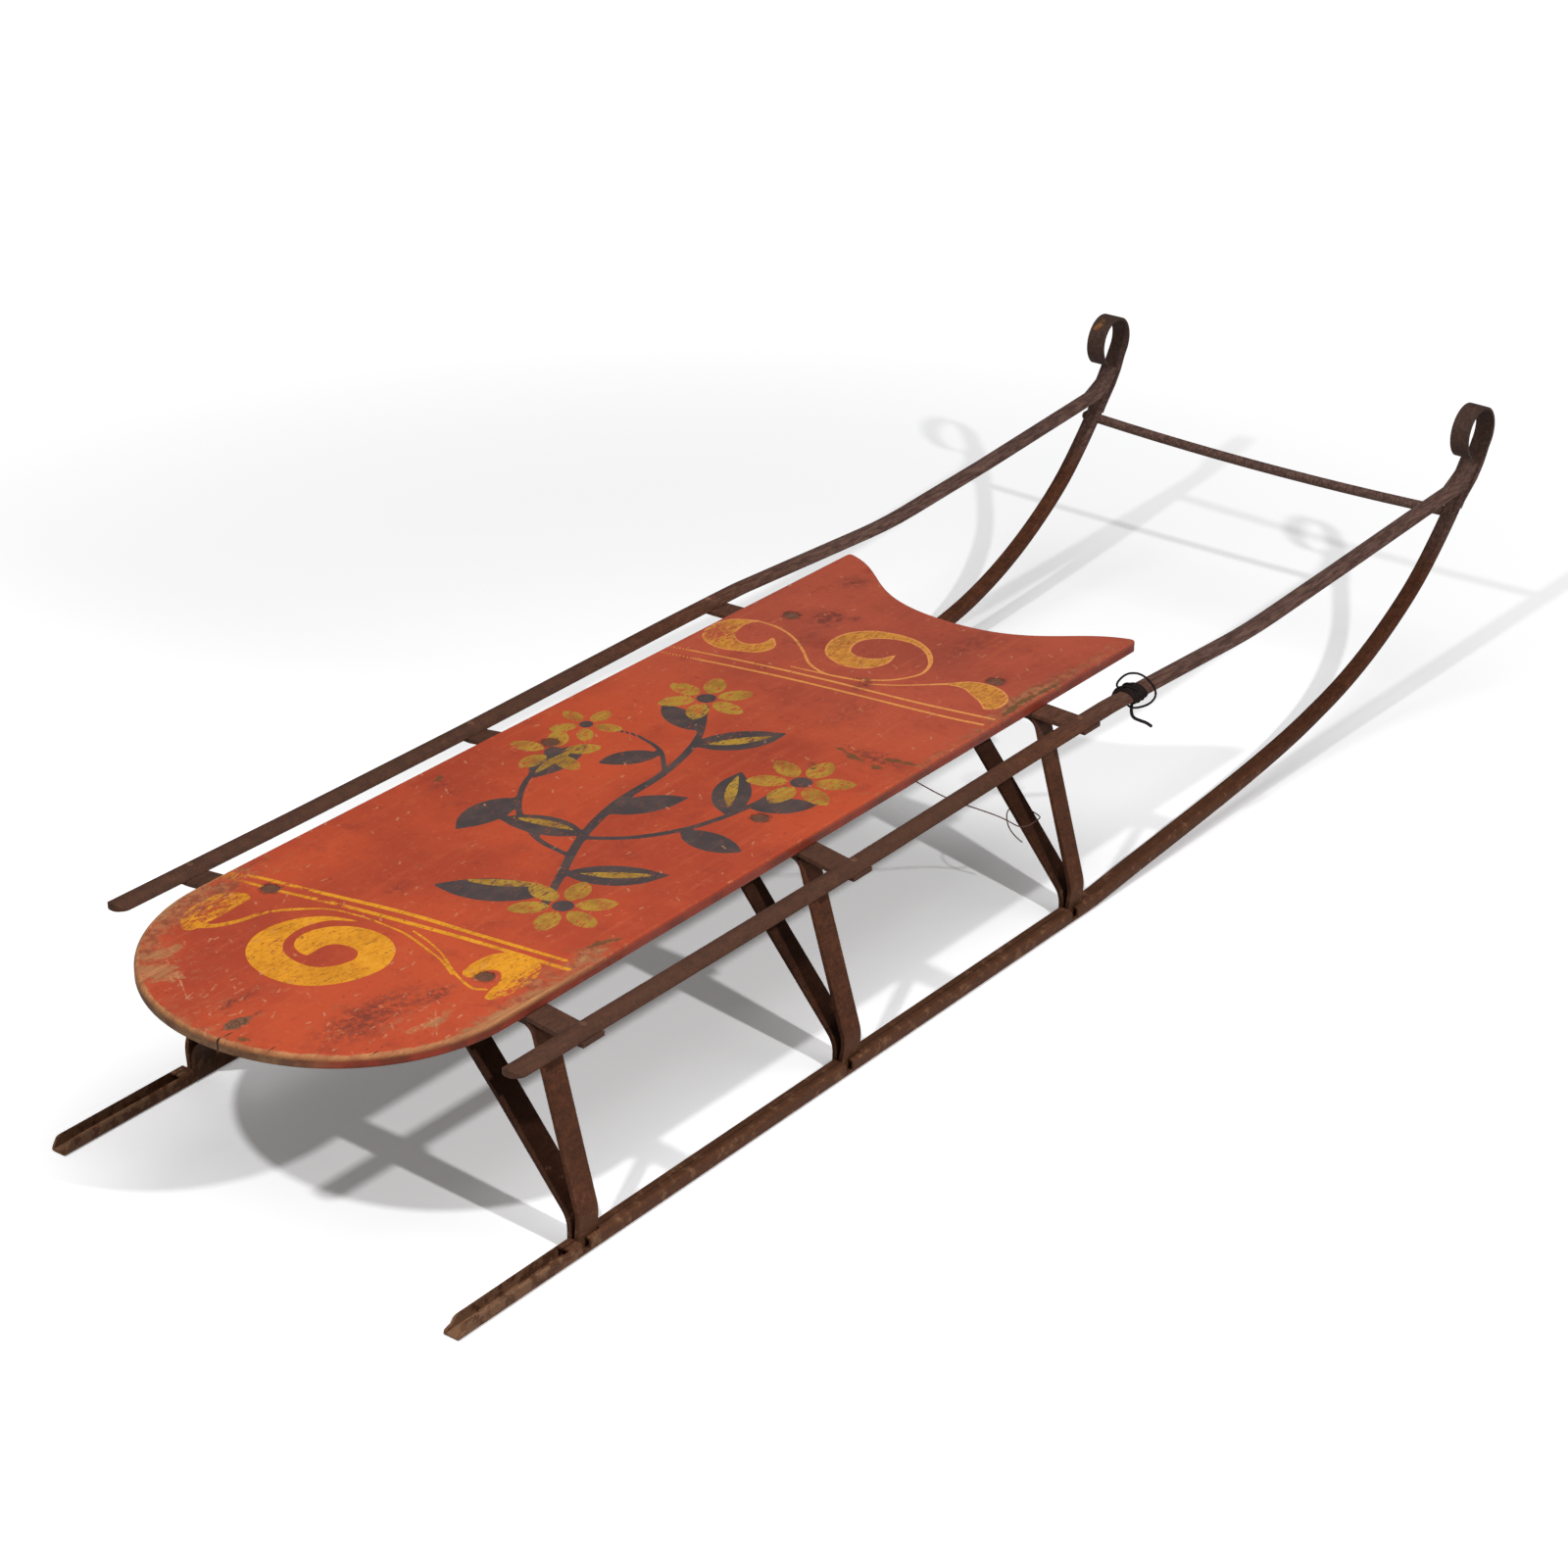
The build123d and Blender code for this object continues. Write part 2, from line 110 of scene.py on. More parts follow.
class Nodes:
    """Short way to write a node tree."""

    def __init__(self, tree):
        self.tree = tree
        tree.nodes.clear()

    def put(self, sock, value):
        if isinstance(value, bpy.types.NodeSocket):
            self.tree.links.new(value, sock)
        else:
            sock.default_value = value

    def __call__(self, kind, out=0, props=(), **inputs):
        """A node's output. Inputs are named, with _ for a space, or i and a number."""
        n = self.tree.nodes.new(kind)
        for k, v in dict(props).items():
            setattr(n, k, v)
        for k, v in inputs.items():
            by_number = k[0] == "i" and k[1:].isdigit()
            self.put(n.inputs[int(k[1:]) if by_number else k.replace("_", " ")], v)
        return n.outputs[out]

    def math(self, op, a, b=0.0, c=0.0):
        return self("ShaderNodeMath", props={"operation": op}, i0=a, i1=b, i2=c)

    def add(self, a, b):
        return self.math("ADD", a, b)

    def sub(self, a, b):
        return self.math("SUBTRACT", a, b)

    def mul(self, a, b):
        return self.math("MULTIPLY", a, b)

    def mul_add(self, a, b, c):
        return self.math("MULTIPLY_ADD", a, b, c)

    def spread(self, noise, width):
        """A noise of 0 to 1, spread evenly to both sides of 0."""
        return self.mul(self.sub(noise, 0.5), width)

    def vector(self, op, a, b, out=0):
        return self("ShaderNodeVectorMath", out, props={"operation": op}, i0=a, i1=b)

    def axis(self, vec, k):
        return self("ShaderNodeSeparateXYZ", k, i0=vec)

    def step(self, value, low, high):
        """0 below low, 1 above high, smooth between (high may be under low)."""
        return self("ShaderNodeMapRange", props={"interpolation_type": "SMOOTHSTEP"}, i0=value, i1=low, i2=high)

    def mix(self, f, a, b):
        n = self.tree.nodes.new("ShaderNodeMix")
        n.data_type = "RGBA"
        self.put(n.inputs[0], f)
        for sock, colour in ((n.inputs[6], a), (n.inputs[7], b)):
            self.put(sock, colour if isinstance(colour, bpy.types.NodeSocket) else (*colour, 1))
        return n.outputs[2]

    def lay(self, where, most, under, over):
        """One colour over another, at most so much of it."""
        return self.mix(self.mul(where, most), under, over)

    def noise(self, vec, scale, detail, rough):
        return self("ShaderNodeTexNoise", Vector=vec, Scale=scale, Detail=detail, Roughness=rough)

    def stretch(self, vec, s):
        return self("ShaderNodeMapping", i0=vec, i3=s)

    def attr(self, name):
        return self("ShaderNodeAttribute", 2, props={"attribute_name": name})

    def rays(self, a, b):
        """1 for rays of either kind."""
        path = self.tree.nodes.new("ShaderNodeLightPath")
        return self.math("MAXIMUM", path.outputs[f"Is {a} Ray"], path.outputs[f"Is {b} Ray"])

    def end(self, kind, shader):
        """Ends the tree of a World or a Material."""
        self.put(self.tree.nodes.new("ShaderNodeOutput" + kind).inputs[0], shader)


def new_material(name):
    mat = bpy.data.materials.new(name)
    mat.use_nodes = True
    return mat, Nodes(mat.node_tree)


def world_and_floor():
    world = bpy.data.worlds.new("world")
    scene.world = world
    world.use_nodes = True
    n = Nodes(world.node_tree)
    lit = n("ShaderNodeBackground", Color=(1, 1, 1, 1), Strength=0.11)
    white = n("ShaderNodeBackground", Color=(1, 1, 1, 1), Strength=1.0)
    n.end("World", n("ShaderNodeMixShader", i0=n.rays("Camera", "Transmission"), i1=lit, i2=white))

    mat, n = new_material("floor_white")
    at = n("ShaderNodeNewGeometry", 0)
    x, y = n.axis(at, 0), n.axis(at, 1)
    seen = n.rays("Camera", "Glossy")
    # the floor goes to white far out, and its shadows are paler beyond and behind the sled
    far = n.step(n.vector("LENGTH", at, (0, 0, 0), 1), 0.55, 2.2)
    beyond = n.mul(n.step(y, 0.05, 0.26), n.step(x, 0.10, -0.25))
    behind = n.step(x, -0.50, -0.66)
    lift = n.mul_add(n.math("MAXIMUM", beyond, behind), 0.14, 0.14)
    glow = n.mul(seen, n.mul_add(far, 0.9, lift))
    pale = n.mix(seen, (0.5, 0.5, 0.5), (1.19, 1.19, 1.20))
    n.end("Material", n("ShaderNodeBsdfPrincipled", Base_Color=pale, Roughness=0.9, Specular_IOR_Level=0.0,
                        Emission_Color=(1, 1, 1, 1), Emission_Strength=glow))
    half = 15
    me = bpy.data.meshes.new("floor")
    me.from_pydata([(-half, -half, 0), (half, -half, 0), (half, half, 0), (-half, half, 0)], [], [(0, 1, 2, 3)])
    me.materials.append(mat)
    ob = new_object("floor", me)


world_and_floor()

# ---- painted pattern on the board, in mm


def smooth(points, n=7):
    """A smooth line through a few points (station, y, half width)."""
    p = np.asarray(points, float)
    if len(p) < 3:
        return p
    q = np.vstack([2 * p[0] - p[1], p, 2 * p[-1] - p[-2]])
    out = []
    t = np.linspace(0, 1, n, endpoint=False)[:, None]
    for a, b, c, d in zip(q, q[1:], q[2:], q[3:]):
        out.append(0.5 * (2 * b + (c - a) * t + (2 * a - 5 * b + 4 * c - d) * t ** 2
                          + (3 * b - a - 3 * c + d) * t ** 3))
    return np.vstack(out + [p[-1:]])


def stroke(xy, points):
    """Distance from a brush stroke: negative inside it."""
    p = smooth(points)
    best = np.full(len(xy), 1e3)
    for a, b in zip(p, p[1:]):
        ab = b[:2] - a[:2]
        t = np.clip(((xy - a[:2]) @ ab) / max(ab @ ab, 1e-9), 0, 1)
        d = np.hypot(*(xy - a[:2] - t[:, None] * ab).T) - (a[2] + t * (b[2] - a[2]))
        best = np.minimum(best, d)
    return best


def spots(xy, *table):
    """Soft patches added up, each an amount, a station, y and the two radii."""
    return sum(amount * np.exp(-((xy[:, 0] - x) / rx) ** 2 - ((xy[:, 1] - y) / ry) ** 2)
               for amount, x, y, rx, ry in table)


gold_strokes = [
    # rear double stripes
    [(120.4, 126, 1.5), (127.4, 85, 1.6), (133.3, 61.4, 1.7), (140.5, 28, 1.9), (147.6, -12.4, 1.9),
     (154.8, -57.6, 1.8), (162.6, -121, 1.8)],
    [(126.6, 124, 1.6), (133.3, 104, 1.8), (140.5, 68.6, 1.8), (148.8, 32.9, 1.9), (156, -2.9, 1.9),
     (161.9, -50.5, 1.8), (170.2, -112.4, 1.5)],
    # rear volute
    [(128.5, 20.5, 0.7), (121, 35, 2.6), (109, 44, 5.2), (93, 48, 8.0), (76.5, 45, 10.2), (63, 34, 11.4),
     (56.7, 16, 12.0), (58.5, -1, 11.8), (66.8, -12.5, 11.1), (80, -20, 10.6), (94, -22.3, 10.6),
     (106, -17.2, 11.1), (113, -7.8, 11.7), (113.8, 4.2, 12.0), (109, 16, 11.5), (100, 22.6, 10.8),
     (90.5, 23.4, 9.2), (83.3, 19, 5.2), (79.5, 15.2, 1.6)],
    # rear left plume and its long tail
    [(60, 95, 5), (70, 99, 9), (84, 101, 11), (97, 101, 10.5), (105, 98, 7), (108, 94, 3)],
    [(64, 93, 4), (70, 84, 2.4), (84, 76.5, 2.0), (96, 73.5, 1.8), (103.5, 70.5, 1.4)],
    [(106, 69, 1.5), (114, 62.5, 1.6), (120.5, 55.5, 1.3), (126.5, 48.5, 1.1), (131, 40, 1.0),
     (133.3, 30.5, 0.9), (135.4, 16, 0.9), (135.8, 2, 0.9), (135.3, -12.5, 0.9), (132, -27, 0.9),
     (128.5, -38.5, 0.9), (125, -50.5, 0.9), (120, -61, 1.0), (115, -69.5, 0.8)],
    [(140.5, -16, 0.8), (138, -27, 0.8), (133.3, -41, 0.8), (127.4, -53, 0.8), (120.2, -64.8, 0.9),
     (114.3, -76.5, 0.9), (110, -90, 1.1), (113.5, -97.5, 1.2)],
    # rear right plume
    [(124, -78, 6), (135, -77.5, 7), (146, -84, 11), (146, -97, 12.5), (132, -104.5, 8.5), (118, -106, 6.5),
     (108.5, -106, 3.5)],
    # front double stripes
    [(557.5, 124.5, 1.21), (574.5, 47.3, 1.3), (584.5, -14.5, 1.3), (594.5, -89.1, 1.3), (601, -121.5, 1.3)],
    [(569.5, 124.5, 1.21), (581.8, 69.1, 1.3), (592.7, 5.5, 1.3), (601.8, -63.6, 1.3), (612.9, -122.5, 1.3)],
    [(595.5, 38.2, 0.78), (600, 12.7, 1.03), (606.4, -10.9, 0.7)],
    # front left scroll and its line
    [(643, 105, 1.3), (637, 111, 4.0), (629, 115.5, 8.0), (617, 115.5, 10.6), (605, 110.5, 12.0),
     (598.5, 99, 10.4), (599.5, 87, 7.4), (605, 76.5, 7.4), (614, 73, 5.6), (625, 77, 1.4)],
    [(643.6, 105.5, 1.03), (643.6, 87.3, 1.03), (636.4, 67.3, 1.03), (621.8, 47.3, 1.03), (607.3, 30.9, 1.03),
     (600.9, 12.7, 1.03), (603.6, -3.6, 1.03), (607.3, -16.4, 0.86)],
    # front centre scroll
    [(655.5, -8.0, 1.03), (642, -6.5, 5.5), (631.5, 2.5, 9.2), (629.5, 14, 9.6), (636, 27, 9.4),
     (650, 34, 9.2), (664, 33.5, 8.4), (676, 25, 7.2), (683, 11, 5.0), (684.5, -3, 3.6), (680, -17, 2.6),
     (670, -29, 2.0), (657, -37.5, 1.38), (642, -40.5, 1.13), (628, -35, 1.03), (617.5, -26.5, 1.03),
     (609, -14, 0.86)],
    # front right plume
    [(605.5, -21.8, 0.86), (616.4, -38.2, 0.95), (629.1, -52.7, 1.03), (641, -66, 2.0), (648, -80, 7.5),
     (646, -93, 11.5), (640, -103, 11.0), (631, -108, 7.0), (624, -108, 2.0)],
]


def leaf(x, y, turn, length, width, bend=0.0):
    """A pointed leaf from its foot, as a stroke."""
    a = math.radians(turn)
    pts = []
    for t, w in ((0, 0.08), (0.12, 0.42), (0.3, 0.86), (0.5, 1.0), (0.7, 0.78), (0.88, 0.34), (1, 0.03)):
        u, v = t * length, bend * length * t * t
        pts.append((x + u * math.cos(a) - v * math.sin(a), y + u * math.sin(a) + v * math.cos(a),
                    w * width / 2))
    return pts


def flower(x, y, size, petals, turn):
    """Petals round an eye, each a short leaf that starts a quarter of the size from the middle."""
    out = []
    for k in range(petals):
        turned = turn + 360 * k / petals
        a = math.radians(turned)
        out.append(leaf(x + 0.25 * size * math.cos(a), y + 0.25 * size * math.sin(a), turned,
                        0.78 * size, 0.46 * size, 0.08))
    return out


stems = [
    [(212, -58, 2.6), (250, -40, 3.0), (300, -16, 3.2), (352, -2, 3.4), (408, 2, 3.0), (460, 16, 2.6),
     (506, 44, 2.0)],
    [(300, -16, 2.2), (322, -42, 2.4), (356, -62, 2.4), (398, -72, 2.2), (440, -74, 1.8)],
    [(276, -28, 2.0), (282, 6, 2.2), (304, 40, 2.2), (338, 64, 2.0), (372, 74, 1.6)],
    [(408, 2, 1.8), (432, 26, 1.8), (440, 54, 1.6), (434, 78, 1.4)],
]
dark_leaves = [leaf(232, -48, 128, 74, 30, -0.12), leaf(256, -38, -62, 66, 27, 0.14),
               leaf(304, -14, 96, 60, 26, 0.16), leaf(336, -4, -24, 60, 24, -0.1),
               leaf(348, -60, -96, 48, 24, 0.12), leaf(384, -70, 38, 64, 26, -0.14),
               leaf(402, -72, -52, 46, 22, 0.1), leaf(318, 52, 168, 58, 26, 0.16),
               leaf(346, 66, 12, 62, 24, -0.16), leaf(452, 14, -44, 66, 28, 0.14),
               leaf(474, 22, 78, 50, 22, -0.12), leaf(428, 22, 142, 44, 20, 0.1)]
mustard_marks = (flower(222, -66, 34, 6, 12) + flower(452, -78, 36, 6, 0) + flower(386, 80, 32, 5, 30)
                 + flower(516, 52, 34, 6, 20) + flower(432, 90, 26, 5, 0)
                 + [leaf(238, -40, 128, 56, 9, -0.12), leaf(262, -46, -62, 50, 8, 0.14),
                    leaf(306, -6, 96, 46, 8, 0.16), leaf(392, -64, 38, 50, 8, -0.14),
                    leaf(352, 68, 12, 46, 7, -0.16), leaf(458, 8, -44, 50, 9, 0.14)])
flower_eyes = [[(x, y, r), (x + 0.5, y, r)] for x, y, r in
               ((222, -66, 7), (452, -78, 7.5), (386, 80, 6.5), (516, 52, 7), (432, 90, 5))]

# ---- the board


def bezier(control, n=400):
    t = np.linspace(0, 1, n)[:, None]
    p = np.array([(x, f * deck_half) for x, f in control], float)
    return (1 - t) ** 3 * p[0] + 3 * t * (1 - t) ** 2 * p[1] + 3 * t * t * (1 - t) * p[2] + t ** 3 * p[3]


def end_x(control, y):
    c = bezier(control)
    return np.interp(np.abs(y), c[:, 1], c[:, 0])


def board():
    """The board as one fine mesh, whose points carry the paint."""
    # lines close together along the edges, then from the margin inwards at an even pitch
    steps = np.array([0, 0.2, 0.45, 0.75, 1.1, 1.5, 2.0, 2.7, 3.6, 4.8])
    margin, pitch = 6.4, 1.55
    inner = np.arange(-deck_half + margin, deck_half - margin + 0.1, pitch)
    ys = np.concatenate([-deck_half + steps, inner, (deck_half - steps)[::-1]])
    rear = end_x(deck_rear, ys)
    front = end_x(deck_front, ys)
    top_y = deck_half - deck_corner
    over = np.abs(ys) > top_y
    corner = np.sqrt(np.maximum(0, deck_corner ** 2 - (np.abs(ys[over]) - top_y) ** 2))
    front[over] = deck_front[-1][0] - deck_corner + corner
    # closer rows where the thin strokes are: stations, and the pitch from each to the next
    dense = np.array([-27, 178, 182, 548, 552, 692, 696, 770.0])
    gaps = np.array([1.5, 3.2, 3.2, 1.5, 1.5, 2.8, 2.8])
    count = np.concatenate([[0], np.cumsum(np.diff(dense) / gaps)])
    along = np.interp(np.linspace(0, count[-1], int(count[-1])), count, dense)
    along = (along - along[0]) / (along[-1] - along[0])
    gx = np.array([np.concatenate([a + steps, a + margin + (b - a - 2 * margin) * along, (b - steps)[::-1]])
                   for a, b in zip(rear, front)])
    ny, nx = gx.shape
    gy = np.repeat(ys[:, None], nx, 1)
    idx = np.arange(ny * nx).reshape(ny, nx)
    loop = np.concatenate([idx[0, :-1], idx[:-1, -1], idx[-1, :0:-1], idx[:0:-1, 0]])
    xy = np.stack([gx.ravel(), gy.ravel()], 1)
    rim = xy[loop]
    # the top edge is rounded, more so towards the rear
    d = edge_distance(xy, rim)
    r = 1.2 + 1.3 * np.clip((140 - xy[:, 0]) / 120, 0, 1)
    z = deck_top - np.where(d < r, r - np.sqrt(np.maximum(0, r ** 2 - (r - d) ** 2)), 0)
    verts = [np.column_stack([xy, z])]
    faces = [(idx[j, i], idx[j, i + 1], idx[j + 1, i + 1], idx[j + 1, i])
             for j in range(ny - 1) for i in range(nx - 1)]
    # the sides go down in rings to a rounded lower edge, each so far below the top and so far in
    tang = np.roll(rim, -1, 0) - np.roll(rim, 1, 0)
    tang /= np.linalg.norm(tang, axis=1)[:, None]
    inward = np.stack([-tang[:, 1], tang[:, 0]], 1)
    last = loop
    base = len(xy)
    around = len(loop)
    for drop, inset in ((3.4, 0), (4.8, 0.1), (6.4, 0), (deck_t - 0.9, 0), (deck_t - 0.25, 0.25),
                        (deck_t, 1.0)):
        ring = rim + inward * inset
        verts.append(np.column_stack([ring, np.full(around, deck_top - drop)]))
        now = base + np.arange(around)
        faces += [(last[k], now[k], now[(k + 1) % around], last[(k + 1) % around]) for k in range(around)]
        last, base = now, base + around
    faces.append(tuple(last[::-1]))
    me = bpy.data.meshes.new("deck_board")
    me.from_pydata(row(np.vstack(verts)).tolist(), [], [tuple(int(i) for i in f) for f in faces])
    me.validate()
    ob = new_object("deck_board", me)
    sink_seats(ob)
    paint_attributes(ob.data, rim)
    return ob


def sink_seats(ob, around=40, above=2):
    """Cuts the round seats of the bolt heads into the board."""
    verts, faces = [], []
    turns = [2 * math.pi * k / around for k in range(around)]
    for x, y in bolts_at:
        b = len(verts)
        for z in (deck_top - seat_depth, deck_top + above):
            verts += [(x + seat_r * math.cos(t), y + seat_r * math.sin(t), z) for t in turns]
        faces += [(b + k, b + (k + 1) % around, b + around + (k + 1) % around, b + around + k)
                  for k in range(around)]
        faces += [tuple(range(b + around - 1, b - 1, -1)), tuple(range(b + around, b + 2 * around))]
    cut_mesh = bpy.data.meshes.new("cut")
    cut_mesh.from_pydata(row(verts).tolist(), [], faces)
    cutter = new_object("cut", cut_mesh)
    mod = ob.modifiers.new("seats", "BOOLEAN")
    mod.operation, mod.solver, mod.object = "DIFFERENCE", "EXACT", cutter
    done = bpy.data.meshes.new_from_object(ob.evaluated_get(bpy.context.evaluated_depsgraph_get()))
    ob.modifiers.clear()
    ob.data = done
    bpy.data.objects.remove(cutter)


def edge_distance(xy, rim, reach=40, most=60):
    """Distance from the board's outline, looked for within reach of a point."""
    nxt = np.roll(rim, -1, 0)
    best = np.full(len(xy), 1e9)
    keep = np.linalg.norm(nxt - rim, axis=1) > 1e-6
    for a, b in zip(rim[keep], nxt[keep]):
        near = (np.abs(xy[:, 0] - a[0]) < reach) & (np.abs(xy[:, 1] - a[1]) < reach)
        if not near.any():
            continue
        p = xy[near]
        ab = b - a
        t = np.clip(((p - a) @ ab) / (ab @ ab), 0, 1)
        best[near] = np.minimum(best[near], np.hypot(*(p - a - t[:, None] * ab).T))
    return np.minimum(best, most)


def paint_attributes(me, rim):
    """Where the strokes, the wear and the dirt are, as values on the board's points."""
    co = np.zeros(len(me.vertices) * 3)
    me.vertices.foreach_get("co", co)
    co = co.reshape(-1, 3) / MM
    xy = co[:, :2] + [X0, 0]

    def put(name, values):
        a = me.attributes.new(name, "FLOAT", "POINT")
        a.data.foreach_set("value", np.ascontiguousarray(values, dtype=np.float32))

    def nearest(strokes, reach=12, most=10):
        best = np.full(len(xy), 1e3)
        for s in strokes:
            p = np.asarray(s)
            r = p[:, 2].max() + reach
            box = ((xy[:, 0] > p[:, 0].min() - r) & (xy[:, 0] < p[:, 0].max() + r)
                   & (xy[:, 1] > p[:, 1].min() - r) & (xy[:, 1] < p[:, 1].max() + r))
            if box.any():
                best[box] = np.minimum(best[box], stroke(xy[box], s))
        return np.minimum(best, most)

    # the red is left bare round the near rear bolt
    put("gold", np.maximum(nearest(gold_strokes), 5.5 - np.hypot(xy[:, 0] - 121, xy[:, 1] + 94)))
    eyes = nearest(flower_eyes)
    put("dark", np.minimum(nearest(stems + dark_leaves), eyes))
    put("mustard", np.maximum(nearest(mustard_marks), -eyes))
    put("rim", edge_distance(xy, rim))
    # how far a point is down the side (0 to 1), and whether it is under the board
    put("side", np.clip((deck_top - 2.2 - co[:, 2]) / 1.5, 0, 1))
    put("under", np.clip((deck_bot + 0.4 - co[:, 2]) / 0.2, 0, 1))
    # where strokes have flaked, paint is rubbed off or scuffed, and dirt lies
    put("chip", spots(xy, (0.7, 84, 103, 34, 16), (0.5, 121, 118, 16, 10), (0.95, 137, 62, 3.6, 26),
                      (0.35, 96, 73, 26, 3), (0.75, 132, -112, 30, 8), (0.4, 78, 34, 9, 12),
                      (0.35, 612, 98, 26, 30), (0.45, 608, 118, 20, 12), (0.25, 640, -104, 26, 20),
                      (0.22, 640, 25, 40, 30)))
    put("bare", spots(xy, (0.75, 8, 66, 20, 22), (0.6, 4, 30, 22, 10), (0.55, 30, -64, 26, 6),
                      (0.5, 82, -98, 34, 7), (0.45, 52, 58, 8, 6), (0.9, 28, 84, 16, 9),
                      (0.75, 17, -45, 9, 6), (0.8, 748, -77, 11, 10), (0.55, 60, -100, 24, 10),
                      (0.5, 645, -120, 34, 5), (0.5, 40, 45, 7, 14), (0.6, 70, 120, 50, 9),
                      (0.8, 115, -124, 75, 8), (0.5, 190, -118, 26, 8), (0.45, 5, 75, 12, 12),
                      (0.3, 100, 75, 14, 6), (0.35, 470, -122, 120, 5), (0.3, 780, 100, 10, 16)))
    scuff = spots(xy, (1.0, 5, 30, 40, 60), (0.8, 60, -90, 55, 26), (0.5, 60, 70, 40, 30))
    put("scuff", np.clip(scuff + 0.07, 0, 1))
    grime = spots(xy, (0.95, 70, 118, 70, 17), (0.75, 16, 98, 24, 18), (0.8, 184, -118, 24, 9),
                  (0.7, 112, -124, 50, 10), (0.5, 140, -108, 14, 12), (0.5, 655, -118, 30, 6),
                  (0.6, -24, 20, 6, 60), (0.5, 765, 60, 26, 30), (0.6, 735, -123, 70, 6),
                  (0.7, 655, -120, 42, 7), (0.6, 560, -125, 70, 5))
    put("grime", np.clip(grime, 0, 1))
    smudge_and_shade = spots(xy, (0.9, 12, 9, 16, 4), (0.8, 92, -79, 14, 6), (0.85, 45, -66, 42, 16),
                   (0.7, 602, -20, 10, 6), (0.95, 681, 68, 15, 13), (0.6, 745, 92, 16, 12),
                   (0.5, 700, -40, 30, 14), (0.4, 640, 60, 22, 12), (0.4, 560, -40, 34, 18),
                   (0.8, 690, 50, 5, 5), (0.55, 8, -12, 9, 2.5), (0.7, 512, -95, 12, 30),
                   (0.7, 428, -103, 5, 4), (0.7, 479, -67, 5, 4), (0.6, 148, 123, 8, 4),
                   (0.5, 300, 106, 14, 5), (0.5, 176, 30, 14, 6), (0.5, 110, 112, 12, 10))
    # a dark ring in and just round each bolt seat: painted shade of the recess, mixed in with the dirt
    for x, y in bolts_at:
        past_seat = np.maximum(0, np.hypot(xy[:, 0] - x, xy[:, 1] - y) - seat_r)
        smudge_and_shade += 0.85 * np.exp(-(past_seat / 2.2) ** 2)
    put("smudge_and_shade", smudge_and_shade)
    put("knot", np.hypot(((xy[:, 0] + 6.5) + 0.25 * (xy[:, 1] + 11)) / 9.5, (xy[:, 1] + 11) / 5.4))
    put("stain", nearest([[(510, -67, 1.2), (506, -78, 2.6), (503, -90, 2.2)],
                          [(502, -98, 2.4), (502, -105, 2.8)],
                          [(514, -101, 1.8), (519, -110, 2.8), (521, -118, 2.2), (523, -124, 0.8)],
                          [(608, -8, 1.6), (612, -17, 2.2)],
                          [(622, -124, 1.6), (646, -122, 2.6), (690, -125, 1.4)],
                          [(190, -112, 1.5), (206, -117, 2.4), (214, -121, 1.4)],
                          [(470, -68, 1.2), (474, -72, 1.6)], [(-18, -24, 1.0), (-16, -30, 1.4)],
                          [(300, 110, 1.2), (312, 114, 1.6)]]))
    put("crack", np.clip(nearest([[(-32, -12, 0.75), (-24, -15, 0.6), (-14, -16.5, 0.3), (-9, -17, 0.05)],
                                  [(-26, -46, 0.5), (-14, -47, 0.4), (-6, -49, 0.05)],
                                  [(12, -98, 0.6), (22, -96, 0.4), (34, -93, 0.05)],
                                  [(-24, 40, 0.4), (-12, 41, 0.3), (-4, 40, 0.05)]]), -1, 3))


